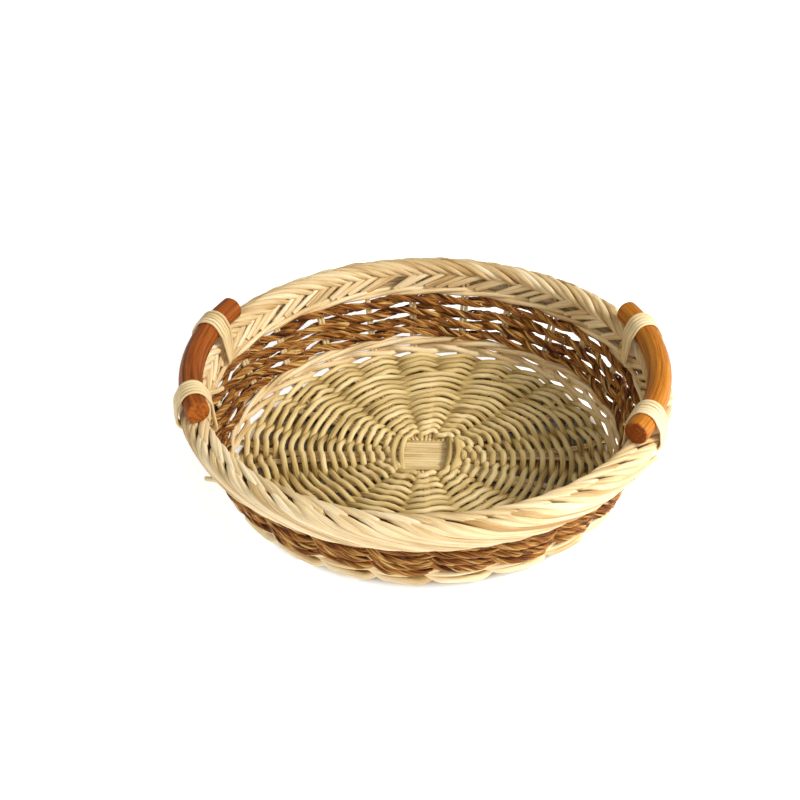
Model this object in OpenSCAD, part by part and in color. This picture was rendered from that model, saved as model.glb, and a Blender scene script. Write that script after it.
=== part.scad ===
// Shallow round wicker basket: a woven base, a flared side with a band of brown rope twining,
// a rolled rod border, and two bowed wooden handles lashed on top of the border.
// Millimetres, +Z up. The origin is under the middle of the base, on the surface it stands on,
// and the two handles lie on the X axis.

/* [Side] */
// Radius of the circle where the side stakes leave the base
foot_radius = 135; // [130:1:140]
// Lean of the side outwards from upright, in degrees
wall_flare = 21; // [18:1:24]

/* [Rods] */
// Diameter of the willow rods that make the frame
rod_d = 2.8; // [2.6:0.1:2.9]
// Diameter of the willow rods that weave the base
weaver_d = 4.0; // [3.6:0.1:4.2]
// Diameter of the willow rods that weave the side
wale_d = 3.2; // [3.0:0.1:3.4]
// Diameter of one strand of the brown rope
rope_d = 5.0; // [4.4:0.1:5.2]

/* [Border] */
// Width of the rolled border, from its inner side to its outer side
roll_w = 16.4; // [15.6:0.2:17.0]
// Height of the rolled border
roll_h = 10.8; // [10.0:0.2:11.2]
// Thickness of the apron of rod ends that hangs outside, under the roll
apron_t = 4.4; // [4.0:0.1:4.6]

/* [Handles] */
// Diameter of the round wooden handle rod
handle_d = 16.5; // [14:0.5:18]
// Width of one lashing along the handle
lashing_w = 13; // [8:1:16]
// Thickness of the lashing cane
lashing_t = 1.4; // [1.2:0.1:1.5]

/* [Hidden] */
$fn = 48;
gap = 0.1;
rod_sides = 8;

// Weave levels: under-strands lie on the ground, spokes above them, over-strands on top.
under_z = weaver_d / 2;
spoke_z = weaver_d + gap + rod_d / 2;
over_z = spoke_z + rod_d / 2 + gap + weaver_d / 2;

// Centre block: twelve rods across, lying on twelve rods through.
groups = 3;
group_rods = 4;
rod_pitch = rod_d + 0.05;
block_half = rod_pitch * groups * group_rods / 2;
across_z = spoke_z + rod_d / 2 + gap / 2;
through_z = spoke_z - rod_d / 2 - gap / 2;
fan_radius = 24.5;
split_radius = 104;
rod_end_radius = foot_radius - rod_d / 2 - 0.2;

// Hand weaving leaves the twelve spokes a few degrees off even spacing.
spoke_angles = [5, 35, 62, 90, 118, 148, 183, 213, 245, 275, 308, 338];
pair_split = 7.5;
pair_angles = [for (a = spoke_angles) for (side = [-1, 1]) a + side * pair_split];
across_spokes = [[213, 338], [183, 5], [148, 35]];
through_spokes = [[245, 118], [275, 90], [308, 62]];

// Base courses, from the first one round the centre block to the edge.
courses = 16;
first_course_radius = 25.5;
last_course_to_foot = 6.5;
last_course_radius = foot_radius - last_course_to_foot;
course_pitch = (last_course_radius - first_course_radius) / (courses - 1);
rest_flat = 0.3;

// Distances up the stakes, measured along the wall from the base.
foot_row_s = 3.4;
lower_wale_s = 11.4;
rope_s = [for (i = [0:3]) 17.4 + 7.8 * i];
upper_wale_s = 49.6;
stake_top_s = 59.5;
braid_low_s = 56.2;
braid_high_s = 60.5;
braid_out = -(rod_d + wale_d) / 2 - gap;
apron_low_s = 51;
apron_high_s = 59.3;
apron_out = 8.3;
roll_s = 68.2;
roll_out = 2.45;

// Handles: arcs over the border, each given by the angles of its two ends and two lashings.
roll_r = wall_r(roll_s, roll_out);
roll_z = wall_z(roll_s, roll_out);
roll_core = (roll_w - roll_h) / 2;
handle_r = roll_r - roll_core;
handle_z = roll_z + (roll_h + handle_d) / 2 + gap;
right_handle = [-27.5, 29.5];
left_handle = [154, 204];
lashing_angles = [["left_back", 165], ["left_front", 197.5], ["right_back", 19.5], ["right_front", -20.5]];

willow = [0.86, 0.77, 0.55];
willow_dark = [0.76, 0.67, 0.42];
seagrass = [0.56, 0.36, 0.16];
stained_wood = [0.62, 0.31, 0.12];
cane = [0.90, 0.81, 0.62];

function numbered(name, k) = str(name, k < 10 ? "_0" : "_", k);

// A point of the wall's section: s runs up along the stakes, out runs outwards, square to them.
function wall_r(s, out) = foot_radius + s * sin(wall_flare) + out * cos(wall_flare);
function wall_z(s, out) = spoke_z + s * cos(wall_flare) - out * sin(wall_flare);

function on_spoke(angle, radius, aside, z) =
    [radius * cos(angle) - aside * sin(angle), radius * sin(angle) + aside * cos(angle), z];

// One end of a base rod from the fan outwards; place counts 0 to 3 anticlockwise in its group.
function rod_end_points(angle, place) = let(
        aside = (place - (group_rods - 1) / 2) * rod_pitch,
        pair_angle = angle + (place < 2 ? -pair_split : pair_split),
        pair_aside = (place % 2 - 0.5) * rod_pitch
    ) [
        on_spoke(angle, fan_radius, aside, spoke_z),
        on_spoke(angle, split_radius, aside, spoke_z),
        on_spoke(pair_angle, rod_end_radius, pair_aside, spoke_z)
    ];

function backwards(list) = [for (i = [len(list) - 1:-1:0]) list[i]];
function unit(v) = v / norm(v);

// A round rod along a list of points that never runs straight up.
module rod(points) {
    last = len(points) - 1;
    rings = [for (i = [0:last]) let(
            along = unit(points[min(i + 1, last)] - points[max(i - 1, 0)]),
            side = unit(cross(along, [0, 0, 1])),
            rise = cross(side, along)
        ) for (k = [0:rod_sides - 1]) let(turn = 360 * k / rod_sides)
            points[i] + rod_d / 2 * (side * cos(turn) + rise * sin(turn))];
    skin = [for (i = [0:last - 1]) for (k = [0:rod_sides - 1]) let(next = (k + 1) % rod_sides)
        [i * rod_sides + k, i * rod_sides + next, (i + 1) * rod_sides + next, (i + 1) * rod_sides + k]];
    caps = [
        [for (k = [rod_sides - 1:-1:0]) k],
        [for (k = [0:rod_sides - 1]) last * rod_sides + k]
    ];
    polyhedron(rings, concat(skin, caps), convexity = 4);
}

// Four rods that run across the base, flat over the block, with a spoke at each end.
module across_rods(row) {
    color(willow) for (j = [0:group_rods - 1]) {
        y = (row - 1) * group_rods * rod_pitch + (j - (group_rods - 1) / 2) * rod_pitch;
        rod(concat(
            backwards(rod_end_points(across_spokes[row][0], group_rods - 1 - j)),
            [[-block_half, y, across_z], [block_half, y, across_z]],
            rod_end_points(across_spokes[row][1], j)
        ));
    }
}

// Four rods that run through from front to back, under the rods across.
module through_rods(column) {
    color(willow) for (j = [0:group_rods - 1]) {
        x = (column - 1) * group_rods * rod_pitch + (j - (group_rods - 1) / 2) * rod_pitch;
        rod(concat(
            backwards(rod_end_points(through_spokes[column][0], j)),
            [[x, -block_half, through_z], [x, block_half, through_z]],
            rod_end_points(through_spokes[column][1], group_rods - 1 - j)
        ));
    }
}

// Two binding rods across the ends of the four-rod groups, along one side of the block.
module block_binding(turn, z) {
    color(willow_dark) rotate([0, 0, turn]) for (i = [0, 1])
        translate([block_half + (i - 0.5) * (weaver_d + gap), 0, z])
            rotate([90, 0, 0]) cylinder(h = 2 * block_half - 3, d = weaver_d, center = true);
}

module ring(radius, z, d) {
    translate([0, 0, z]) rotate_extrude() translate([radius, 0]) circle(d = d);
}

// The under-strand of the last course is worn flat, and the basket rests on it.
module rest_ring(radius) {
    rotate_extrude() intersection() {
        translate([radius, under_z - rest_flat]) circle(d = weaver_d);
        translate([radius - weaver_d, 0]) square([2 * weaver_d, weaver_d]);
    }
}

// One course of pairing: a strand over the spokes and a strand under them.
module base_course(k) {
    radius = first_course_radius + (k - 1) * course_pitch;
    color(willow_dark) {
        ring(radius, over_z, weaver_d);
        if (k < courses) ring(radius, under_z, weaver_d);
        else rest_ring(radius);
    }
}

// The two pairs of upright rods that carry on from one spoke of the base.
module side_stakes(k) {
    start_s = -0.8;
    color(willow) for (side = [-1, 1]) rotate([0, 0, spoke_angles[k - 1] + side * pair_split])
        for (aside = [-0.5, 0.5]) translate([wall_r(start_s, 0), aside * rod_pitch, wall_z(start_s, 0)])
            rotate([0, wall_flare, 0]) cylinder(h = stake_top_s - start_s, d = rod_d);
}

// A twined row: its strands run inside the stakes and outside them, and cross in every bay between.
// Each strand is given by how far up it lies from the middle of the row.
module twined_row(s, d, inner_strands, outer_strands) {
    out = (rod_d + d) / 2 + gap / 2;
    crossing_d = 0.7 * d;
    pairs = len(pair_angles);
    for (up = inner_strands) ring(wall_r(s + up, -out), wall_z(s + up, -out), d);
    for (up = outer_strands) ring(wall_r(s + up, out), wall_z(s + up, out), d);
    for (i = [0:pairs - 1]) {
        next_angle = pair_angles[(i + 1) % pairs] + (i == pairs - 1 ? 360 : 0);
        rotate([0, 0, (pair_angles[i] + next_angle) / 2])
            translate([wall_r(s, -out), 0, wall_z(s, -out)])
                rotate([0, 90 + wall_flare, 0]) cylinder(h = 2 * out, d = crossing_d);
    }
}

// One strand inside every stake pair and one outside.
module foot_row() { color(willow) twined_row(foot_row_s, weaver_d, [0], [0]); }
module rope_row(k) { color(seagrass) twined_row(rope_s[k - 1], rope_d, [0], [0]); }

// A wale of four rods: at every stake pair two lie inside, one above the other, and two outside.
module wale(s) {
    half_step = (wale_d + gap) / 2;
    color(willow) twined_row(s, wale_d, [-half_step, half_step], [-half_step, half_step]);
}

// The rods rolled over the top of the side into one thick border.
module border_roll() {
    color(willow) rotate_extrude() translate([roll_r, roll_z]) {
        for (side = [-1, 1]) translate([side * roll_core, 0]) circle(d = roll_h);
        square([2 * roll_core, roll_h], center = true);
    }
}

// A band of rod ends that lies along the wall, with round edges.
module wall_band(low_s, high_s, out, thickness) {
    color(willow) rotate_extrude() translate([wall_r(low_s, out), wall_z(low_s, out)])
        rotate([0, 0, -wall_flare]) {
            circle(d = thickness);
            translate([0, high_s - low_s]) circle(d = thickness);
            translate([-thickness / 2, 0]) square([thickness, high_s - low_s]);
        }
}

// The slanting rod ends inside the stakes, and the ends that hang outside, both under the roll.
module border_braid() { wall_band(braid_low_s, braid_high_s, braid_out, wale_d); }
module border_apron() { wall_band(apron_low_s, apron_high_s, apron_out, apron_t); }

// A round wooden rod bowed over the border, sawn square at both ends.
module handle(ends) {
    color(stained_wood) translate([0, 0, handle_z]) rotate([0, 0, ends[0]])
        rotate_extrude(angle = ends[1] - ends[0]) translate([handle_r, 0]) circle(d = handle_d);
}

// Outline of what a lashing holds, grown by a margin: the handle rod, the roll and the braid.
module lashed_outline(margin) {
    hull() {
        translate([handle_r, handle_z]) circle(r = handle_d / 2 + margin, $fn = 32);
        for (side = [-1, 1]) translate([roll_r + side * roll_core, roll_z])
            circle(r = roll_h / 2 + margin, $fn = 32);
        translate([wall_r(braid_low_s, braid_out), wall_z(braid_low_s, braid_out)])
            circle(r = wale_d / 2 + margin, $fn = 24);
    }
}

// Flat cane wound round the handle and the border.
module lashing(angle) {
    color(cane) rotate([0, 0, angle]) translate([0, lashing_w / 2, 0]) rotate([90, 0, 0])
        linear_extrude(lashing_w) difference() {
            lashed_outline(0.2 + lashing_t);
            lashed_outline(0.2);
        }
}

across_rods(0);  // across_rods_front
across_rods(1);  // across_rods_middle
across_rods(2);  // across_rods_back
through_rods(0);  // through_rods_left
through_rods(1);  // through_rods_middle
through_rods(2);  // through_rods_right
block_binding(180, over_z + rod_d / 2 + gap);  // block_binding_left
block_binding(0, over_z + rod_d / 2 + gap);  // block_binding_right
block_binding(270, over_z);  // block_binding_front
block_binding(90, over_z);  // block_binding_back
for (k = [1:courses]) base_course(k);
for (k = [1:len(spoke_angles)]) side_stakes(k);
foot_row();
wale(lower_wale_s);  // lower_wale
for (k = [1:len(rope_s)]) rope_row(k);
wale(upper_wale_s);  // upper_wale
border_roll();
border_apron();
border_braid();
handle(left_handle);  // handle_left
handle(right_handle);  // handle_right
for (lashing = lashing_angles)
    lashing(lashing[1]);
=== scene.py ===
import math

import bpy
import numpy as np
from mathutils import Matrix, Vector

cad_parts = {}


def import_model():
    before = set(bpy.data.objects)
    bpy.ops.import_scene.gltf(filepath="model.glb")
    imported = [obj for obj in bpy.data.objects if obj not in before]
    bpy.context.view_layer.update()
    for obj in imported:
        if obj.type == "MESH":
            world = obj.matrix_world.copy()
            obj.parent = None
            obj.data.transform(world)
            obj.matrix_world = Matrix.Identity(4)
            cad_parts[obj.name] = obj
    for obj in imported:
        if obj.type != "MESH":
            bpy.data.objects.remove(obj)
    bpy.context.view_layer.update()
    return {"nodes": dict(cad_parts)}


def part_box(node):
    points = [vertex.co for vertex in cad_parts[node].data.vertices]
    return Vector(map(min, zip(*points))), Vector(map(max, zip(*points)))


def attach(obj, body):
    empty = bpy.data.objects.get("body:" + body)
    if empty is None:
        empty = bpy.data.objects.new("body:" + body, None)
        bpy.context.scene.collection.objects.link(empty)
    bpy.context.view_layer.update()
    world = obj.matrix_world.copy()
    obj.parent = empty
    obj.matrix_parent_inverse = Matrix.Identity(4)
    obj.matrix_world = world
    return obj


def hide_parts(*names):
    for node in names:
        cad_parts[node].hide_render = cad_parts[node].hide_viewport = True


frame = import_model()

# Lengths are in millimetres until a mesh is made; angles are in degrees.
# Angle 0 is at +X, where the right handle is, and 90 is at the back.
MM = 0.001
CLEARANCE = 0.1
BODY = "root"


# ---------------------------------------------------------------- sizes read from the frame

def box_mm(node):
    low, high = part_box(node)
    return np.array(low) / MM, np.array(high) / MM


def nodes_named(start):
    return sorted(name for name in frame["nodes"] if name.startswith(start))


def middle_angle(node):
    """Angle of the middle of a node, which is the angle of the spoke or lashing it belongs to."""
    points = np.array([vertex.co for vertex in frame["nodes"][node].data.vertices])
    if node.startswith("side_stakes"):
        x, y = points.mean(0)[:2]
    else:
        x, y = (points.max(0) + points.min(0))[:2]
    return math.degrees(math.atan2(y, x)) % 360


# An across rod reaches from the underside of its spokes to its top at the block, half a rod higher.
low, high = box_mm("across_rods_middle")
ROD_D = (high[2] - low[2] - CLEARANCE / 2) / 1.5
SPOKE_Z = low[2] + ROD_D / 2
ROD_PITCH = ROD_D + CLEARANCE / 2
ACROSS_Z = SPOKE_Z + ROD_PITCH / 2
THROUGH_Z = SPOKE_Z - ROD_PITCH / 2

low, high = box_mm("block_binding_left")
WEAVER_D = (high[0] - low[0] - CLEARANCE) / 2
BLOCK_HALF = -(high[0] + low[0]) / 2
low, high = box_mm("base_course_05")
OVER_Z = high[2] - WEAVER_D / 2
COURSE_R = [box_mm(node)[1][0] - WEAVER_D / 2 for node in nodes_named("base_course")]

# The twelve spokes, and the two pairs of stakes that each of them opens into.
SPOKES = sorted(middle_angle(node) for node in nodes_named("side_stakes"))
PAIR_SPLIT = 7.5
PAIRS = sorted((spoke + side * PAIR_SPLIT) % 360 for spoke in SPOKES for side in (-1, 1))

rope_low = box_mm(nodes_named("rope_row")[0])
rope_high = box_mm(nodes_named("rope_row")[-1])
FLARE = math.atan2(rope_high[1][0] - rope_low[1][0], rope_high[1][2] - rope_low[1][2])
SIN_F = math.sin(FLARE)
COS_F = math.cos(FLARE)


def row_size(node, strands):
    """Diameter, offset from the stakes, radius and height of a twined row, worked out from its box.
    strands is how many it has inside the stakes, one above the other, and also outside them."""
    low, high = box_mm(node)
    spread = strands - 1
    d = high[2] - low[2] - CLEARANCE * spread * COS_F - (ROD_D + CLEARANCE) * SIN_F
    d = d / (spread * COS_F + SIN_F + 1)
    off = (ROD_D + d + CLEARANCE) / 2
    half_step = spread * (d + CLEARANCE) / 2
    r = high[0] - d / 2 - off * COS_F - half_step * SIN_F
    return d, off, r, low[2] + off * SIN_F + d / 2 + half_step * COS_F


ROPE_D, ROPE_OFF, rope_r, rope_z = row_size(nodes_named("rope_row")[0], 1)
FOOT_R = rope_r - (rope_z - SPOKE_Z) / COS_F * SIN_F
WALE_D, WALE_OFF = row_size("upper_wale", 2)[:2]
FOOT_ROW_D, FOOT_ROW_OFF = row_size("foot_row", 1)[:2]

low, high = box_mm("border_roll")
ROLL_OUTER = high[0]
ROLL_Z = (high[2] + low[2]) / 2

low, high = box_mm("handle_right")
HANDLE_R = (high[2] - low[2]) / 2
HANDLE_AT = high[0] - HANDLE_R
HANDLE_Z = (high[2] + low[2]) / 2


# A place on the side is s, its distance up the wall from the foot, and out, its distance outwards.
def wall_r(s, out):
    return FOOT_R + s * SIN_F + out * COS_F


def wall_z(s, out):
    return SPOKE_Z + s * COS_F - out * SIN_F


def row_s(node, strands):
    """How far up the wall the middle of a twined row is."""
    return (row_size(node, strands)[3] - SPOKE_Z) / COS_F


# ---------------------------------------------------------------- strands swept into meshes

def polar(radius, angle, z):
    """Points from radius, angle in degrees and height; each may be a number or an array."""
    angle = np.radians(angle)
    radius, angle, z = np.broadcast_arrays(radius, angle, z)
    return np.stack([radius * np.cos(angle), radius * np.sin(angle), z], axis=1)


def on_wall(s, out, angle):
    return polar(wall_r(s, out), angle, wall_z(s, out))


def wall_normal(angle):
    return polar(COS_F, angle, -SIN_F)


def unit(vectors):
    return vectors / np.linalg.norm(vectors, axis=-1, keepdims=True)


def smooth_path(points, rounds=3):
    """Cuts the corners of an open path again and again, which turns it into a smooth curve."""
    points = np.array(points, float)
    for _ in range(rounds):
        near = points[:-1] * 0.75 + points[1:] * 0.25
        far = points[:-1] * 0.25 + points[1:] * 0.75
        cut = np.stack([near, far], axis=1).reshape(-1, points.shape[1])
        points = np.concatenate([points[:1], cut, points[-1:]])
    return points


def evenly(points, count):
    """The same open path as evenly spaced points, with how far along it each one is, from 0 to 1."""
    step = np.linalg.norm(np.diff(points, axis=0), axis=1)
    length = np.concatenate([[0], np.cumsum(step)])
    want = np.linspace(0, length[-1], count)
    columns = [np.interp(want, length, column) for column in points.T]
    return np.stack(columns, axis=1), want / length[-1]


def wander(rng, turns, size, waves=(1, 2, 3, 5, 8, 13)):
    """Smooth random values that repeat after one full turn; turns runs from 0 to 1."""
    total = np.zeros_like(turns)
    for wave in waves:
        total += rng.normal() * np.sin(2 * np.pi * (wave * turns + rng.random()))
    return size * total / math.sqrt(len(waves))


SIZE_WAVES = (3, 7, 11, 17)
TONE_WAVES = (2, 4, 7, 11, 19)
UP = (0, 0, 1)
# Each rod starts at its own random place in the pattern of its material, along and across the fibres.
PATTERN_ALONG = 900
PATTERN_ACROSS = 90


class Strands:
    """Rods of many kinds, swept along paths and gathered into one mesh.
    fibre holds how far along its rod a point is and where it is across it; tone shifts its colour."""

    def __init__(self, seed):
        self.rng = np.random.default_rng(seed)
        self.points = []
        self.quads = []
        self.fibre = []
        self.tone = []
        self.count = 0

    def add(self, points, quads, fibre, tone):
        self.points.append(points)
        self.quads.append(np.asarray(quads) + self.count)
        self.fibre.append(fibre)
        self.tone.append(np.broadcast_to(tone, len(points)))
        self.count += len(points)

    def rod_size(self, turns, d, change):
        """Half the width of a natural rod of diameter d, which changes along the rod."""
        return d / 2 * (1 + wander(self.rng, turns, change, SIZE_WAVES))

    def rod_tone(self, turns, change):
        return wander(self.rng, turns, change, TONE_WAVES)

    def sweep(self, path, normal, wide, thick, closed=False, sides=8, tone=0.0):
        """Sweeps an oval section along a path. normal is the way that its thickness points;
        wide and thick are half sizes, and tone the colour shift, along the path or all the way."""
        path = np.asarray(path, float)
        count = len(path)
        normal = np.broadcast_to(np.asarray(normal, float), path.shape)
        wide = np.broadcast_to(wide, count)
        thick = np.broadcast_to(thick, count)
        if closed:
            along = unit(np.roll(path, -1, 0) - np.roll(path, 1, 0))
        else:
            along = unit(np.gradient(path, axis=0))
        side = unit(np.cross(along, normal))
        rise = np.cross(side, along)
        turn = 2 * np.pi * (np.arange(sides) + 0.5) / sides
        x = wide[:, None] * np.cos(turn)[None, :]
        y = thick[:, None] * np.sin(turn)[None, :]
        rings = path[:, None, :] + x[..., None] * side[:, None, :] + y[..., None] * rise[:, None, :]
        step = np.linalg.norm(np.diff(path, axis=0), axis=1)
        length = np.concatenate([[0], np.cumsum(step)]) + self.rng.random() * PATTERN_ALONG
        shift = self.rng.random() * PATTERN_ACROSS
        fibre = np.stack([np.broadcast_to(length[:, None], x.shape), x + shift, y], axis=2)
        spans = np.arange(count if closed else count - 1)[:, None]
        ring = spans * sides
        next_ring = (spans + 1) % count * sides
        corner = np.arange(sides)[None, :]
        next_corner = (corner + 1) % sides
        corners = [ring + corner, ring + next_corner, next_ring + next_corner, next_ring + corner]
        quads = np.stack(corners, axis=2).reshape(-1, 4)
        tone = np.broadcast_to(tone, count)
        self.add(rings.reshape(-1, 3), quads, fibre.reshape(-1, 3), np.repeat(tone, sides))
        if not closed:
            self.cap(rings[0], fibre[0], tone[0], sides, 1)
            self.cap(rings[-1], fibre[-1], tone[-1], sides, -1)

    def cap(self, ring, fibre, tone, sides, way):
        """Closes a cut end with its own points, so that its edge stays crisp."""
        points = np.concatenate([ring, ring.mean(0)[None]])
        grain = np.concatenate([fibre, fibre.mean(0)[None]])
        first = np.arange(0, sides, 2)
        quads = [np.full(len(first), sides), first, first + 1, (first + 2) % sides]
        quads = np.stack(quads[::way] if way > 0 else quads[::-1], axis=1)
        self.add(points, quads, grain, tone)

    def piece(self, name, replaced, slot, material):
        """Makes the Blender object, which rides on the body and stands for the replaced CAD nodes."""
        mesh = bpy.data.meshes.new(name)
        points = np.concatenate(self.points) * MM
        quads = np.concatenate(self.quads)
        mesh.from_pydata(points.tolist(), [], quads.tolist())
        fibre = mesh.attributes.new("fibre", "FLOAT_VECTOR", "POINT")
        fibre.data.foreach_set("vector", np.concatenate(self.fibre).astype(np.float32).ravel())
        tone = mesh.attributes.new("tone", "FLOAT", "POINT")
        tone.data.foreach_set("value", np.concatenate(self.tone).astype(np.float32))
        mesh.shade_smooth()
        mesh.materials.append(material)
        piece = bpy.data.objects.new(name, mesh)
        bpy.context.scene.collection.objects.link(piece)
        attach(piece, BODY)
        if replaced:
            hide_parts(*replaced)


# ---------------------------------------------------------------- materials

BLACK = (0, 0, 0)
WHITE = (1, 1, 1)
# Sockets of a mix node for colours, which share their names with its other sockets.
MIX_A = 6
MIX_B = 7
MIX_RESULT = 2


class Shader:
    """A material's node tree, built by short calls."""

    def __init__(self, name):
        self.material = bpy.data.materials.new(name)
        self.material.use_nodes = True
        self.tree = self.material.node_tree
        self.principled = self.tree.nodes["Principled BSDF"]

    def node(self, kind, inputs=None, **settings):
        node = self.tree.nodes.new(kind)
        for key, value in settings.items():
            setattr(node, key, value)
        for key, value in (inputs or {}).items():
            self.feed(node.inputs[key], value)
        return node

    def feed(self, socket, value):
        if isinstance(value, bpy.types.NodeSocket):
            self.tree.links.new(value, socket)
        else:
            socket.default_value = value

    def attribute(self, name, output):
        return self.node("ShaderNodeAttribute", attribute_name=name).outputs[output]

    def math(self, operation, *values):
        node = self.node("ShaderNodeMath", operation=operation)
        for socket, value in zip(node.inputs, values):
            self.feed(socket, value)
        return node.outputs[0]

    def noise(self, vector, stretch, detail=3.0, roughness=0.55):
        """Noise on the fibre coordinates; stretch is its number of bumps per millimetre each way."""
        scaled = self.node("ShaderNodeVectorMath", {0: vector, 1: stretch}, operation="MULTIPLY")
        inputs = {"Vector": scaled.outputs[0], "Scale": 1.0, "Detail": detail, "Roughness": roughness}
        return self.node("ShaderNodeTexNoise", inputs).outputs["Fac"]

    def ramp(self, factor, stops):
        node = self.node("ShaderNodeValToRGB", {"Fac": factor})
        elements = node.color_ramp.elements
        while len(elements) < len(stops):
            elements.new(0.5)
        for element, (place, colour) in zip(elements, stops):
            element.position = place
            element.color = (*colour, 1)
        return node.outputs["Color"]

    def level(self, tone, fine, fine_share, slow, slow_share, middle):
        """A place on a colour ramp: two noises on top of the rod's own tone, less a middle value."""
        level = self.math("MULTIPLY_ADD", fine, fine_share, tone)
        level = self.math("MULTIPLY_ADD", slow, slow_share, level)
        return self.math("SUBTRACT", level, middle)

    def marks(self, colour, mark, noise, none_at, full_at, strength):
        """The colour with marks on it, which start where the noise passes none_at."""
        mask = self.ramp(noise, sorted([(none_at, BLACK), (full_at, WHITE)]))
        node = self.node("ShaderNodeMix", data_type="RGBA")
        self.feed(node.inputs["Factor"], self.math("MULTIPLY", mask, strength))
        self.feed(node.inputs[MIX_A], colour)
        self.feed(node.inputs[MIX_B], (*mark, 1))
        return node.outputs[MIX_RESULT]

    def bump(self, height, strength, distance):
        inputs = {"Height": height, "Strength": strength, "Distance": distance}
        return self.node("ShaderNodeBump", inputs).outputs["Normal"]

    def finish(self, colour, rough, normal, specular):
        self.feed(self.principled.inputs["Base Color"], colour)
        self.feed(self.principled.inputs["Roughness"], rough)
        self.feed(self.principled.inputs["Normal"], normal)
        self.feed(self.principled.inputs["Specular IOR Level"], specular)
        return self.material


def rod_material(name, dark, middle, light, stain, rough):
    """Peeled willow or cane: long fine fibres, slow changes of tone, and a few darker stains."""
    shader = Shader(name)
    fibre = shader.attribute("fibre", "Vector")
    tone = shader.attribute("tone", "Fac")
    streaks = shader.noise(fibre, (0.035, 1.9, 1.9), detail=4.0, roughness=0.6)
    slow = shader.noise(fibre, (0.02, 0.16, 0.16), detail=2.0)
    level = shader.level(tone, streaks, 0.8, slow, 0.7, middle=0.24)
    colour = shader.ramp(level, [(0.22, dark), (0.5, middle), (0.78, light)])
    spots = shader.noise(fibre, (0.09, 0.5, 0.5), detail=5.0, roughness=0.7)
    colour = shader.marks(colour, stain, spots, none_at=0.62, full_at=0.74, strength=0.45)
    fine = shader.noise(fibre, (0.12, 3.4, 3.4), detail=3.0, roughness=0.6)
    normal = shader.bump(fine, strength=0.45, distance=0.0005)
    return shader.finish(colour, rough, normal, specular=0.35)


def rope_material():
    """Brown seagrass: every ply is a bundle of coarse fibres in streaks of their own tone, darkened
    between them as painted shade and lit to straw at the top as painted highlight.
    """
    shader = Shader("brown_seagrass")
    fibre = shader.attribute("fibre", "Vector")
    tone = shader.attribute("tone", "Fac")
    streaks = shader.noise(fibre, (0.06, 2.4, 2.4), detail=5.0, roughness=0.7)
    slow = shader.noise(fibre, (0.03, 0.3, 0.3))
    level = shader.level(tone, streaks, 1.15, slow, 0.7, middle=0.42)
    # The ramp runs from near black, painted shade in the gaps, through the rope's own browns to straw,
    # which is partly painted highlight.
    stops = [
        (0.16, (0.06, 0.012, 0.002)),
        (0.38, (0.26, 0.080, 0.011)),
        (0.60, (0.48, 0.20, 0.034)),
        (0.84, (0.80, 0.53, 0.18)),
    ]
    colour = shader.ramp(level, stops)
    normal = shader.bump(streaks, strength=0.9, distance=0.0012)
    return shader.finish(colour, 0.62, normal, specular=0.3)


def wood_material(name, dark, middle, light):
    """Stained and varnished hardwood rod with a long straight grain and short dark pores."""
    shader = Shader(name)
    fibre = shader.attribute("fibre", "Vector")
    tone = shader.attribute("tone", "Fac")
    bands = shader.noise(fibre, (0.012, 0.42, 0.42), detail=4.0, roughness=0.6)
    fine = shader.noise(fibre, (0.05, 2.6, 2.6), detail=4.0, roughness=0.65)
    level = shader.level(tone, fine, 0.8, bands, 1.1, middle=0.46)
    colour = shader.ramp(level, [(0.2, dark), (0.5, middle), (0.8, light)])
    pores = shader.noise(fibre, (0.16, 4.5, 4.5), detail=2.0)
    colour = shader.marks(colour, dark, pores, none_at=0.4, full_at=0.3, strength=0.5)
    normal = shader.bump(fine, strength=0.25, distance=0.0005)
    return shader.finish(colour, 0.5, normal, specular=0.2)


WILLOW = rod_material(
    "willow",
    dark=(0.44, 0.25, 0.08),
    middle=(0.79, 0.605, 0.335),
    light=(0.94, 0.81, 0.58),
    stain=(0.36, 0.19, 0.05),
    rough=0.5,
)
BASE_WILLOW = rod_material(
    "base_willow",
    # Much of the base's weave reaches this dark end through the painted shade where the weavers run
    # underneath.
    dark=(0.20, 0.11, 0.02),
    middle=(0.64, 0.475, 0.19),
    light=(0.86, 0.70, 0.38),
    stain=(0.22, 0.12, 0.03),
    rough=0.5,
)
FRAME_WILLOW = rod_material(
    "frame_willow",
    dark=(0.44, 0.27, 0.09),
    middle=(0.76, 0.58, 0.29),
    light=(0.88, 0.74, 0.47),
    stain=(0.30, 0.17, 0.05),
    rough=0.5,
)
# Painted shade: a very dark copy of the willow, which stands for the shade between the border's bundles.
PAINTED_SHADE_WILLOW = rod_material(
    "painted_shade_willow",
    dark=(0.05, 0.022, 0.006),
    middle=(0.13, 0.065, 0.018),
    light=(0.24, 0.13, 0.04),
    stain=(0.04, 0.02, 0.005),
    rough=0.7,
)
CANE = rod_material(
    "cane",
    dark=(0.55, 0.37, 0.14),
    middle=(0.82, 0.65, 0.37),
    light=(0.92, 0.80, 0.56),
    stain=(0.46, 0.27, 0.09),
    rough=0.45,
)
ROPE = rope_material()
LEFT_WOOD = wood_material(
    "left_wood", dark=(0.08, 0.013, 0.002), middle=(0.30, 0.07, 0.008), light=(0.50, 0.15, 0.016))
RIGHT_WOOD = wood_material(
    "right_wood", dark=(0.18, 0.035, 0.003), middle=(0.47, 0.16, 0.012), light=(0.66, 0.31, 0.035))


# ---------------------------------------------------------------- weave patterns

def stake_angle(place, angles):
    """Angle at a place counted in stakes: 0 is the first stake, 0.5 is half way to the second."""
    count = len(angles)
    known = np.concatenate([angles, np.array(angles) + 360])
    return np.interp(np.mod(place, count), np.arange(2 * count), known)


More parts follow.
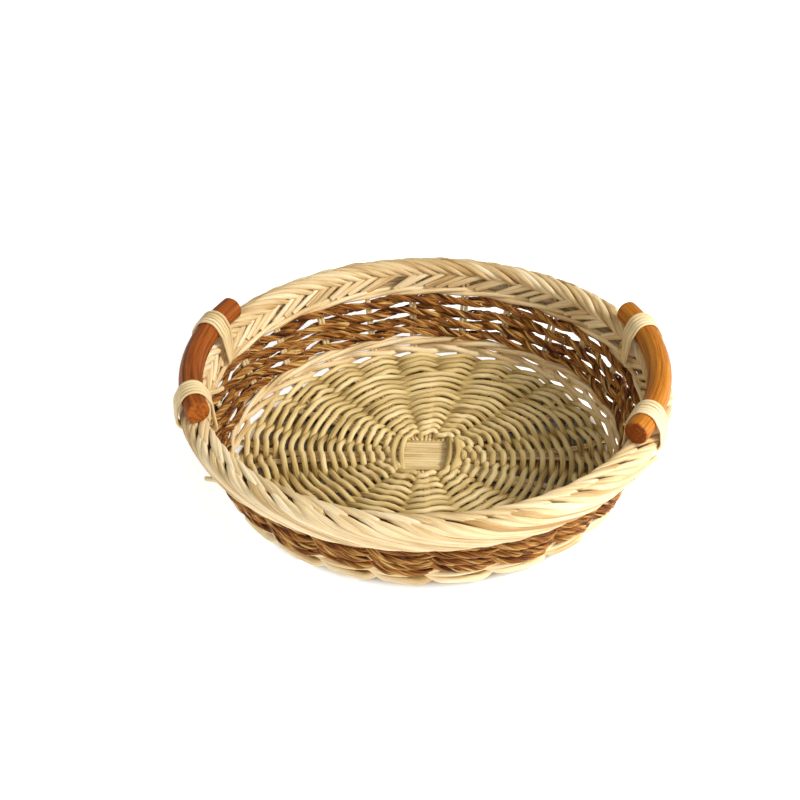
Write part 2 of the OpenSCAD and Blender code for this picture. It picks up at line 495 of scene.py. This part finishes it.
def over_under(place, flat):
    """1 at even stakes and -1 at odd ones, level over the width of each stake, and 0 half way."""
    nearest = np.round(place)
    away = np.abs(place - nearest)
    fall = np.clip((away - flat) / (0.5 - flat), 0, 1)
    return np.cos(np.pi * nearest) * np.cos(fall * np.pi / 2)


def places(angles, samples, start=0.0):
    """Places all the way round, counted in stakes, with so many samples to each stake."""
    return start + np.arange(len(angles) * samples) / samples


# The inner courses of the base go round whole spokes, and the others round each pair of rods.
SPOKE_COURSES = 12
# How far a weaver swings towards the centre and away, and how much more where it runs underneath.
COURSE_LEAN = 1.9
UNDER_LEAN = 0.6
# Painted shade and light: how much darker the base's weavers are painted where they run underneath, and
# lighter where they run over the rods.
PAINTED_UNDER_SHADE = 0.1


def base_course(index, node):
    """Two weavers, which take turns over and under the rods of the base."""
    strands = Strands(100 + index)
    whole_spokes = index < SPOKE_COURSES
    angles = SPOKES if whole_spokes else PAIRS
    half_width = (2 if whole_spokes else 1) * ROD_PITCH
    radius = COURSE_R[index]
    bay = 2 * math.pi * radius / len(angles)
    flat = min(0.8 * half_width / bay, 0.3)
    place = places(angles, 20 if whole_spokes else 14)
    turns = place / len(angles)
    angle = stake_angle(place, angles)
    drift = wander(strands.rng, turns, size=0.35)
    for strand in (0, 1):
        swing = over_under(place + strand, flat)
        lean = np.sin(np.pi * (place + strand))
        lean = np.sign(lean) * np.abs(lean) ** 0.5
        lift = wander(strands.rng, turns, size=0.25)
        z = SPOKE_Z + (OVER_Z - SPOKE_Z) * swing + lift * (swing > 0)
        r = radius + drift - COURSE_LEAN * lean * (1 + UNDER_LEAN * np.maximum(-swing, 0))
        size = strands.rod_size(turns, WEAVER_D, 0.05)
        # Painted shade: the tone falls where a weaver dives under the rods and rises where it lies over
        # them.
        tone = strands.rod_tone(turns, 0.09) + PAINTED_UNDER_SHADE * (2 * swing - 1)
        strands.sweep(polar(r, angle, z), UP, size * 1.04, size * 0.92, closed=True, sides=10, tone=tone)
    strands.piece("woven_" + node, [node], "base_weave", BASE_WILLOW)


# The natural rods of the side bed into each other, so they are thicker than the CAD's plain rings.
BEDDED = 1.12
WALE_RODS = 3


def wale_row(seed, node):
    """Three rods: each passes inside two stake pairs, sloping down, then rises outside the third."""
    strands = Strands(seed)
    s = row_s(node, 2)
    step = (WALE_D + CLEARANCE) / 2
    for strand in range(WALE_RODS):
        place = places(PAIRS, 14, strand)
        turns = (place - strand) / len(PAIRS)
        cycle = 2 * np.pi * place / WALE_RODS
        inside = np.minimum(1 / 3 + 4 / 3 * np.cos(cycle - np.pi / 3), BEDDED)
        up = step * 2 / math.sqrt(3) * np.cos(cycle + np.pi / 6)
        up = up + wander(strands.rng, turns, size=0.22)
        angle = stake_angle(place - strand, PAIRS)
        size = strands.rod_size(turns, BEDDED * WALE_D, 0.06)
        tone = strands.rod_tone(turns, 0.1)
        path = on_wall(s + up, -WALE_OFF * inside, angle)
        strands.sweep(path, wall_normal(angle), size * 1.04, size, closed=True, sides=10, tone=tone)
    strands.piece("woven_" + node, [node], "willow", WILLOW)


FOOT_ROW_FLAT = 0.28
FOOT_ROW_LIFT = 0.8
FOOT_ROW_TWINE = 1.7


def foot_row(node):
    """Two natural rods twined round the stake pairs, where the side leaves the base."""
    strands = Strands(650)
    s = row_s(node, 1) + FOOT_ROW_LIFT
    place = places(PAIRS, 20)
    turns = place / len(PAIRS)
    angle = stake_angle(place, PAIRS)
    for strand in (0, 1):
        swing = over_under(place + strand, FOOT_ROW_FLAT)
        up = FOOT_ROW_TWINE * np.sin(np.pi * (place + strand)) + wander(strands.rng, turns, size=0.3)
        size = strands.rod_size(turns, BEDDED * FOOT_ROW_D, 0.05)
        tone = strands.rod_tone(turns, 0.1)
        path = on_wall(s + up, -FOOT_ROW_OFF * swing, angle)
        strands.sweep(path, wall_normal(angle), size, size, closed=True, sides=10, tone=tone)
    strands.piece("woven_" + node, [node], "willow", WILLOW)


ROPE_FLAT = 0.17
# How far the two ropes of a row rise and fall as they cross, how far apart they lie, and how much
# higher the whole row is at every second pair than its mean.
ROPE_TWINE = 1.8
ROPE_APART = 0.5
ROPE_ZIGZAG = 1.3
TOP_ROPE_LIFT = 1.9
# The plies of one rope: how many, the length of a full twist, and their half width and distance
# from the middle of the rope as shares of its diameter.
ROPE_PLIES = 7
PLY_PITCH = 34.0
PLY_SIZE = 0.165
PLY_REACH = 0.37


def rope_row(seed, node, lift):
    """Two brown ropes of seven loose plies each, woven in and out of the stake pairs."""
    strands = Strands(seed)
    s = row_s(node, 1) + lift
    place = places(PAIRS, 26)
    turns = place / len(PAIRS)
    angle = stake_angle(place, PAIRS)
    normal = wall_normal(angle)
    zigzag = ROPE_ZIGZAG * np.cos(np.pi * place)
    for strand in (0, 1):
        swing = over_under(place + strand, ROPE_FLAT)
        up = ROPE_TWINE * np.sin(np.pi * (place + strand)) + zigzag
        up = up + ROPE_APART * (2 * strand - 1) + wander(strands.rng, turns, size=0.6)
        path = on_wall(s + up, -ROPE_OFF * swing, angle)
        along = unit(np.roll(path, -1, 0) - np.roll(path, 1, 0))
        side = unit(np.cross(along, normal))
        rise = np.cross(side, along)
        length = np.cumsum(np.linalg.norm(np.diff(path, axis=0, append=path[:1]), axis=1))
        twists = round(length[-1] / PLY_PITCH)
        twist = -2 * np.pi * twists * length / length[-1] + wander(strands.rng, turns, size=0.9)
        tone = wander(strands.rng, turns, size=0.06)
        for ply in range(ROPE_PLIES):
            loose = wander(strands.rng, turns, 0.3, (7, 11, 18, 29))
            spin = twist + 2 * np.pi * ply / ROPE_PLIES + loose
            size = ROPE_D * PLY_SIZE * (1 + wander(strands.rng, turns, 0.16, (6, 13, 21, 34)))
            reach = ROPE_D * PLY_REACH * (1 + wander(strands.rng, turns, 0.16, (9, 14, 23, 37)))
            centre = path + (reach * np.cos(spin))[:, None] * side
            centre = centre + (0.85 * reach * np.sin(spin))[:, None] * rise
            ply_tone = tone + strands.rng.normal() * 0.08
            ply_tone = ply_tone + wander(strands.rng, turns, 0.2, (9, 17, 31, 47))
            strands.sweep(centre, normal, size, size, closed=True, sides=7, tone=ply_tone)
    strands.piece("woven_" + node, [node], "brown_rope", ROPE)


# ---------------------------------------------------------------- frame rods and stakes

# Base rods lie in groups of four. From the block each group fans out into a spoke at either end, and
# each spoke opens into two pairs before the foot, where the rods turn up as stakes.
GROUP_RODS = 4
FAN_R = BLOCK_HALF + 7.4
SPLIT_R = 104.0
STAKE_START_R = COURSE_R[-1]


def rod_end(angle, place):
    """One end of a base rod from the block outwards; place counts 0 to 3 anticlockwise."""
    aside = (place - (GROUP_RODS - 1) / 2) * ROD_PITCH
    pair = angle + (-PAIR_SPLIT if place < 2 else PAIR_SPLIT)
    pair_aside = (place % 2 - 0.5) * ROD_PITCH
    result = []
    for turn, radius, shift in (
        (angle, FAN_R, aside),
        (angle, SPLIT_R, aside),
        (pair, STAKE_START_R, pair_aside),
    ):
        out = np.array([math.cos(math.radians(turn)), math.sin(math.radians(turn)), 0])
        left = np.array([-out[1], out[0], 0])
        result.append(out * radius + left * shift + np.array([0, 0, SPOKE_Z]))
    return result


def base_rods(node, index, across):
    """Four rods across the block, with a spoke at each end; the through rods lie under the across rods."""
    strands = Strands(200 + index + (10 if across else 0))
    if across:
        first, second = SPOKES[7 - index], SPOKES[index - 1]
        z = ACROSS_Z
    else:
        first, second = SPOKES[8 + index], SPOKES[4 - index]
        z = THROUGH_Z
    group_aside = (index - 1) * GROUP_RODS * ROD_PITCH
    for rod in range(GROUP_RODS):
        aside = group_aside + (rod - (GROUP_RODS - 1) / 2) * ROD_PITCH
        if across:
            block = [np.array([end * BLOCK_HALF, aside, z]) for end in (-1, 1)]
            place = GROUP_RODS - 1 - rod
        else:
            block = [np.array([aside, end * BLOCK_HALF, z]) for end in (-1, 1)]
            place = rod
        path = rod_end(first, place)[::-1] + block + rod_end(second, GROUP_RODS - 1 - place)
        size = ROD_D / 2 * strands.rng.uniform(0.88, 0.97)
        tone = strands.rng.normal() * 0.1
        strands.sweep(smooth_path(path), UP, size, size, tone=tone)
    strands.piece("rods_" + node, [node], "frame_rods", FRAME_WILLOW)


STAKE_HEIGHTS = (2, 20, 40, 61.5)
STAKE_LEAN_PER = 40


def side_stakes(node):
    """Two pairs of rods that turn up from the base and run up into the border."""
    strands = Strands(300 + int(node[-2:]))
    section = [(STAKE_START_R, SPOKE_Z), (FOOT_R - 2, SPOKE_Z)]
    section += [(wall_r(s, 0), wall_z(s, 0)) for s in STAKE_HEIGHTS]
    for side in (-1, 1):
        turn = math.radians(middle_angle(node) + side * PAIR_SPLIT)
        tangent = (-math.sin(turn), math.cos(turn), 0)
        for aside in (-0.5, 0.5):
            lean = strands.rng.normal() * 0.5 / STAKE_LEAN_PER
            points = []
            for radius, z in section:
                slide = aside * ROD_PITCH + lean * max(z - SPOKE_Z, 0)
                x = radius * math.cos(turn) - slide * math.sin(turn)
                y = radius * math.sin(turn) + slide * math.cos(turn)
                points.append((x, y, z))
            size = ROD_D / 2 * strands.rng.uniform(0.95, 1.05)
            tone = strands.rng.normal() * 0.07
            strands.sweep(smooth_path(points), tangent, size, size, tone=tone)
    strands.piece("rods_" + node, [node], "frame_rods", FRAME_WILLOW)


# How far past the block the binding rods reach, and the share of their length before they dip.
BINDING_PAST = 1.5
BINDING_LEVEL = 0.78
BINDING_BOW = (2.0, 3.8)


def block_binding(node, turn, crosses_over):
    """Binding rods along one side of the block: bowed at the left and right, where both show,
    and straight at the front and back, where one lies over the rods and one under them."""
    strands = Strands(400 + turn)
    spin = math.radians(turn)
    outwards = np.array([math.cos(spin), math.sin(spin), 0])
    sideways = np.array([-math.sin(spin), math.cos(spin), 0])
    half = BLOCK_HALF + BINDING_PAST
    share = np.linspace(-1, 1, 33)
    dip = np.clip((np.abs(share) - BINDING_LEVEL) / (1 - BINDING_LEVEL), 0, 1) ** 2
    for rod in (0, 1):
        out = BLOCK_HALF + (rod - 0.5) * (WEAVER_D + CLEARANCE)
        if crosses_over:
            out = out - 0.2 + BINDING_BOW[rod] * (1 - share ** 2)
            along = share * (half + 2 * rod)
            z = ACROSS_Z + (ROD_D + WEAVER_D) / 2 - 0.4 * rod - dip * 4.5
        else:
            out = np.full_like(share, out)
            along = share * (half - 0.5)
            z = ACROSS_Z + 0.4 - dip * 3 if rod == 0 else np.full_like(share, WEAVER_D / 2)
        path = out[:, None] * outwards + along[:, None] * sideways + z[:, None] * np.array(UP)
        size = (WEAVER_D if crosses_over else ROD_D) / 2 * strands.rng.uniform(0.98, 1.05)
        tone = strands.rng.normal() * 0.06
        strands.sweep(path, UP, size, size * 0.92, sides=10, tone=tone)
    strands.piece("rods_" + node, [node], "base_weave", BASE_WILLOW)


# ---------------------------------------------------------------- border

BUNDLES = 48
BUNDLE_PITCH = 360 / BUNDLES
BUNDLE_RODS = 2
BORDER_ROD_R = 2.3
BORDER_ROD_APART = 3.6
# The wrapping is an inner and an outer half. The section of each is given as distances up the wall
# and out from it: the rods of the inner half rise from under the crest and dive in at the top, and
# those of the outer half start there. At some shares of the section's length, slant is how far round
# a rod has gone, thick its thickness, and apart how far from each other a bundle's rods are.
INNER_HALF = {
    "start": 0,
    "section": [
        (60.6, -2.0), (62.4, -5.2), (66.4, -7.0), (70.2, -4.8), (71.9, -0.9), (71.2, 2.2), (68.0, 4.0)],
    "share": (0.0, 0.25, 0.5, 0.8, 1.0),
    "slant": (0.0, 4.0, 9.0, 15.5, 17.5),
    "thick": (0.75, 1.0, 1.0, 0.9, 0.46),
    "apart": (1.0, 1.0, 1.0, 0.68, 0.36),
}
OUTER_HALF = {
    "start": 18.2,
    "section": [
        (68.0, -2.4), (70.4, -0.6), (71.9, 2.4), (71.6, 5.8), (69.0, 8.4), (64.0, 8.8), (57.0, 8.6),
        (51.5, 8.4), (48.5, 6.0)],
    "share": (0.0, 0.12, 0.28, 0.48, 1.0),
    "slant": (0.0, 2.5, 7.0, 14.0, 34.0),
    "thick": (0.46, 0.87, 1.0, 1.0, 0.8),
    "apart": (0.36, 0.66, 0.95, 1.0, 1.0),
}


def section_normal(path, angle):
    """Which way a path in the wall's section faces; the path goes from the inside over the top."""
    along = unit(np.gradient(path, axis=0))
    up_wall = polar(SIN_F, angle, COS_F)
    return along[:, 1:] * up_wall - along[:, :1] * wall_normal(angle)


def wrapped_half(strands, half):
    """One half of the border's wrapping: slanting bundles of rods, side by side all the way round."""
    section, u = evenly(smooth_path(half["section"]), 36)
    slant, thick, apart = (np.interp(u, half["share"], half[key]) for key in ("slant", "thick", "apart"))
    for bundle in range(BUNDLES):
        start = half["start"] + bundle * BUNDLE_PITCH + strands.rng.normal() * 0.35
        bundle_tone = strands.rng.normal() * 0.06
        stretch = strands.rng.uniform(0.96, 1.04)
        for rod in range(BUNDLE_RODS):
            aside = (rod - (BUNDLE_RODS - 1) / 2) * BORDER_ROD_APART * apart + strands.rng.normal() * 0.25
            angle = start + slant * stretch + aside
            sink = 0.45 * rod + strands.rng.normal() * 0.15
            normal = section_normal(section, angle)
            path = on_wall(section[:, 0], section[:, 1], angle) - sink * normal
            size = BORDER_ROD_R * thick * strands.rng.uniform(0.9, 1.05)
            tone = bundle_tone + strands.rng.normal() * 0.07
            strands.sweep(path, normal, size, size * 0.82, sides=10, tone=tone)


def border_roll():
    strands = Strands(500)
    wrapped_half(strands, INNER_HALF)
    wrapped_half(strands, OUTER_HALF)
    strands.piece("rods_border_roll", ["border_roll"], "willow", WILLOW)


RING_TURNS = np.arange(240) / 240
RING = RING_TURNS * 360
CORE_RODS = [(65.6, -2.2), (66.2, 3.6)]
CORE_ROD_R = 3.5
APRON_HEIGHTS = (52.0, 54.6, 57.4, 60.2)
APRON_OUT = 5.9


def border_core():
    """The stake ends bent round inside the border, painted near black as the shade that shows between the
    bundles.
    """
    strands = Strands(480)
    for s, out in CORE_RODS:
        tone = wander(strands.rng, RING_TURNS, size=0.06)
        path = on_wall(s, out, RING)
        strands.sweep(path, UP, CORE_ROD_R, CORE_ROD_R, closed=True, sides=10, tone=tone)
    strands.piece("rods_border_core", [], "willow", PAINTED_SHADE_WILLOW)


def border_apron():
    """Rod ends that close the outside under the roll; most of them lie behind the wrapped rods."""
    strands = Strands(550)
    for s in APRON_HEIGHTS:
        out = APRON_OUT + wander(strands.rng, RING_TURNS, size=0.3)
        tone = wander(strands.rng, RING_TURNS, size=0.12)
        strands.sweep(on_wall(s, out, RING), wall_normal(RING), 1.5, 1.2, closed=True, tone=tone)
    strands.piece("rods_border_apron", ["border_apron"], "willow", WILLOW)


# Paths of the loose ends, as distance up the wall, distance out from it and angle.
LOOSE_RODS = [
    [(56.0, -5.5, 183.0), (50.0, -7.5, 179.5), (46.5, -9.0, 176.0)],
    [(56.0, 8.6, 219.0), (51.5, 9.6, 215.5), (49.5, 13.0, 213.0)],
    [(51.0, 8.6, 331.0), (52.0, 9.8, 337.0), (53.0, 12.8, 341.0)],
]
LOOSE_ROPE = [(19.0, -5.0, 80.0), (15.5, -6.4, 82.5), (11.5, -6.2, 85.5)]


def loose_ends():
    """A few cut tips of rods that stick out of the border, and one end of brown rope over the wale."""
    for name, paths, radius, slot, material in (
        ("rods_loose_ends", LOOSE_RODS, 1.9, "willow", WILLOW),
        ("rope_loose_end", [LOOSE_ROPE], 0.9, "brown_rope", ROPE),
    ):
        strands = Strands(460)
        for points in paths:
            points, _ = evenly(smooth_path(points), 14)
            s, out, angle = points.T
            strands.sweep(on_wall(s, out, angle), wall_normal(angle), radius, radius * 0.85)
        strands.piece(name, [], slot, material)


BRAID_RODS = 2
BRAID_ROD_R = (2.2, 1.95)
BRAID_START = 2.0
BRAID_APART = 3.1
BRAID_SECTION = [(64.0, -3.6), (62.4, -4.6), (59.0, -5.2), (55.5, -4.6), (52.6, -3.4)]


def border_braid():
    """Rod ends on the inside, which slope down from under the roll to the upper wale."""
    strands = Strands(600)
    section, u = evenly(smooth_path(BRAID_SECTION), 18)
    for bundle in range(BUNDLES):
        start = bundle * BUNDLE_PITCH + BRAID_START + strands.rng.normal() * 0.5
        for rod in range(BRAID_RODS):
            slant = strands.rng.uniform(7.5, 10.5)
            angle = start + BRAID_APART * rod + slant * u + strands.rng.normal() * 0.6
            sink = 0.9 * rod * u
            size = BRAID_ROD_R[rod] * strands.rng.uniform(0.9, 1.05)
            tone = strands.rng.normal() * 0.08
            path = on_wall(section[:, 0] - sink, section[:, 1] + sink, angle)
            strands.sweep(path, wall_normal(angle), size, size * 0.75, tone=tone)
    strands.piece("rods_border_braid", ["border_braid"], "willow", WILLOW)


# ---------------------------------------------------------------- handles and lashings

def handle_ends(node):
    """Angles of a handle's two ends, from how far it reaches to the front and to the back."""
    low, high = box_mm(node)
    back = math.degrees(math.asin(high[1] / (HANDLE_AT + HANDLE_R)))
    front = math.degrees(math.asin(-low[1] / (HANDLE_AT + HANDLE_R)))
    return (-front, back) if low[0] > 0 else (180 - back, 180 + front)


HANDLE_BEVEL = 1.2
HANDLE_BEVEL_DEPTH = 0.9
HANDLE_TAPER = 0.1


def handle(node, material, seed, cut_tone):
    """A bowed round rod with slightly bevelled ends; cut_tone shifts the colour of its sawn faces."""
    strands = Strands(seed)
    first, last = handle_ends(node)
    bevel = math.degrees(HANDLE_BEVEL / HANDLE_AT)
    angle = np.concatenate([[first], np.linspace(first + bevel, last - bevel, 72), [last]])
    size = np.full(len(angle), HANDLE_R)
    size[[0, -1]] -= HANDLE_BEVEL_DEPTH
    size = size + np.interp(angle, [first, last], [HANDLE_TAPER, -HANDLE_TAPER])
    tone = np.zeros(len(angle))
    tone[[0, -1]] = cut_tone
    strands.sweep(polar(HANDLE_AT, angle, HANDLE_Z), UP, size, size, sides=40, tone=tone)
    strands.piece("rod_" + node, [node], "handle_wood", material)


def half_hull(points):
    """The lower hull of points in order of x, or the upper one if they come in reverse order."""
    chain = []
    for x, y in points:
        while len(chain) > 1:
            (ax, ay), (bx, by) = chain[-2:]
            if (bx - ax) * (y - ay) - (by - ay) * (x - ax) > 0:
                break
            chain.pop()
        chain.append((x, y))
    return chain[:-1]


def belt(circles, count):
    """A belt drawn tight round circles in a plane, as evenly spaced points of a closed path."""
    turn = np.linspace(0, 2 * np.pi, 180, endpoint=False)
    points = sorted(
        (x + radius * math.cos(a), y + radius * math.sin(a)) for x, y, radius in circles for a in turn)
    outline = half_hull(points) + half_hull(points[::-1])
    return evenly(np.array(outline + outline[:1]), count + 1)[0][:-1]


CANE_TURNS = 5
CANE_WIDE = 2.75
CANE_PITCH = 3.2
CANE_THICK = 1.9
# The circles that the cane is drawn round, as radius from the basket's axis, height and own radius:
# the handle, the gap under it, the border's outer side and middle, and the wall inside the border.
CANE_ROUND = [
    (HANDLE_AT, HANDLE_Z, HANDLE_R),
    (HANDLE_AT, HANDLE_Z - 5.5, HANDLE_R + 2.6),
    (ROLL_OUTER - 6.2, ROLL_Z, 6.4),
    (wall_r(64.83, -1.33), wall_z(64.83, -1.33), 7.6),
]
CANE_INSIDE = (wall_r(54.37, -6.53), wall_z(54.37, -6.53), 1.6)
# The turns lie side by side over the top part of the loop and are drawn together below it.
SPREAD_TOP = 0.72
SPREAD_LOW = 0.42


def lashing(node, seed):
    """Five turns of flat cane side by side on the handle, drawn together where they pass inside."""
    strands = Strands(seed)
    centre = math.radians(middle_angle(node))
    radial = np.array([math.cos(centre), math.sin(centre), 0])
    tangent = np.array([-math.sin(centre), math.cos(centre), 0])
    rise = np.array([0, 0, 1.0])
    for turn in range(CANE_TURNS):
        place = turn - (CANE_TURNS - 1) / 2
        margin = CANE_THICK / 2 + 0.1 + 0.12 * strands.rng.random()
        circles = [(r, z, radius + margin) for r, z, radius in CANE_ROUND]
        r, z, radius = CANE_INSIDE
        circles.append((r, z, radius + 0.35 * abs(place) + margin))
        outline = belt(circles, 110)
        height = (outline[:, 1] - outline[:, 1].min()) / np.ptp(outline[:, 1])
        spread = SPREAD_LOW + (1 - SPREAD_LOW) * np.clip(height / SPREAD_TOP, 0, 1) ** 1.1
        aside = place * CANE_PITCH * spread + strands.rng.normal() * 0.12
        aside = aside + 0.25 * np.sin(height * 3 + turn)
        along = np.roll(outline, -1, 0) - np.roll(outline, 1, 0)
        out = unit(np.stack([along[:, 1], -along[:, 0]], axis=1))
        path = outline[:, :1] * radial + outline[:, 1:] * rise + aside[:, None] * tangent
        normal = out[:, :1] * radial + out[:, 1:] * rise
        wide = CANE_WIDE / 2 * strands.rng.uniform(0.95, 1.05)
        tone = strands.rng.normal() * 0.06
        strands.sweep(path, normal, wide, CANE_THICK / 2, closed=True, sides=12, tone=tone)
    strands.piece("turns_" + node, [node], "cane", CANE)


# ---------------------------------------------------------------- build

for index, node in enumerate(nodes_named("base_course")):
    base_course(index, node)
for index, node in enumerate(("across_rods_front", "across_rods_middle", "across_rods_back")):
    base_rods(node, index, across=True)
for index, node in enumerate(("through_rods_left", "through_rods_middle", "through_rods_right")):
    base_rods(node, index, across=False)
for node in nodes_named("side_stakes"):
    side_stakes(node)
block_binding("block_binding_right", 0, crosses_over=True)
block_binding("block_binding_left", 180, crosses_over=True)
block_binding("block_binding_back", 90, crosses_over=False)
block_binding("block_binding_front", 270, crosses_over=False)
foot_row("foot_row")
wale_row(700, "lower_wale")
wale_row(701, "upper_wale")
rope_nodes = nodes_named("rope_row")
for index, node in enumerate(rope_nodes):
    rope_row(800 + index, node, TOP_ROPE_LIFT if node == rope_nodes[-1] else 0.0)
border_roll()
border_core()
border_apron()
border_braid()
loose_ends()
handle("handle_left", LEFT_WOOD, 900, cut_tone=0.06)
handle("handle_right", RIGHT_WOOD, 901, cut_tone=-0.32)
for index, node in enumerate(nodes_named("lashing")):
    lashing(node, 950 + index)


# ---------------------------------------------------------------- floor, light and camera

# The floor glows a little, so that it is nearly white, except under the basket.
GLOW = 0.72
GLOW_FROM = (FOOT_R - 6) * MM
GLOW_TO = (FOOT_R + 3) * MM


def floor():
    bpy.ops.mesh.primitive_plane_add(size=8, location=(0, 0, -0.0005))
    plane = bpy.context.object
    plane.name = "floor"
    shader = Shader("pale_floor")
    shader.principled.inputs["Base Color"].default_value = (0.8, 0.8, 0.8, 1)
    shader.principled.inputs["Roughness"].default_value = 0.9
    shader.principled.inputs["Emission Color"].default_value = (0.93, 0.96, 1.0, 1)
    place = shader.node("ShaderNodeTexCoord").outputs["Object"]
    away = shader.node("ShaderNodeVectorMath", {0: place}, operation="LENGTH").outputs["Value"]
    inputs = {"Value": away, "From Min": GLOW_FROM, "From Max": GLOW_TO, "To Min": 0.0, "To Max": GLOW}
    glow = shader.node("ShaderNodeMapRange", inputs).outputs["Result"]
    shader.feed(shader.principled.inputs["Emission Strength"], glow)
    plane.data.materials.append(shader.material)


def area_light(name, azimuth, elevation, distance, size, watts, colour=(1, 1, 1)):
    """A soft square lamp that points at the basket; azimuth 0 is in front and 90 is at the right."""
    a = math.radians(azimuth)
    e = math.radians(elevation)
    data = bpy.data.lights.new(name, "AREA")
    data.size = size
    data.energy = watts
    data.color = colour
    lamp = bpy.data.objects.new(name, data)
    away = Vector((math.sin(a) * math.cos(e), -math.cos(a) * math.cos(e), math.sin(e)))
    lamp.location = away * distance
    lamp.rotation_euler = away.to_track_quat("Z", "Y").to_euler()
    bpy.context.scene.collection.objects.link(lamp)


def camera():
    """The view: from the front, a little to the right, and 34 degrees up."""
    azimuth = math.radians(5.1)
    elevation = math.radians(34.02)
    roll = math.radians(-1.19)
    distance = 1.310
    aim = Vector((-0.0185, 0.0132, 0.0443))
    level = math.cos(elevation)
    back = Vector((math.sin(azimuth) * level, -math.cos(azimuth) * level, math.sin(elevation)))
    data = bpy.data.cameras.new("camera")
    data.lens = 84.3
    data.sensor_width = 36
    data.clip_end = 50
    view = bpy.data.objects.new("camera", data)
    right = Vector((0, 0, 1)).cross(back).normalized()
    up = back.cross(right)
    facing = Matrix((right, up, back)).transposed() @ Matrix.Rotation(roll, 3, "Z")
    view.matrix_world = Matrix.Translation(aim + back * distance) @ facing.to_4x4()
    bpy.context.scene.collection.objects.link(view)
    bpy.context.scene.camera = view


def world():
    sky = bpy.data.worlds.new("sky")
    sky.use_nodes = True
    background = sky.node_tree.nodes["Background"]
    background.inputs["Color"].default_value = (1.0, 0.94, 0.78, 1)
    background.inputs["Strength"].default_value = 0.38
    bpy.context.scene.world = sky
    bpy.context.scene.view_settings.view_transform = "Standard"


floor()
area_light("key", 74, 38, distance=1.6, size=0.45, watts=25, colour=(1.0, 0.97, 0.92))
area_light("front", 5, 30, distance=1.8, size=1.2, watts=9)
world()
camera()
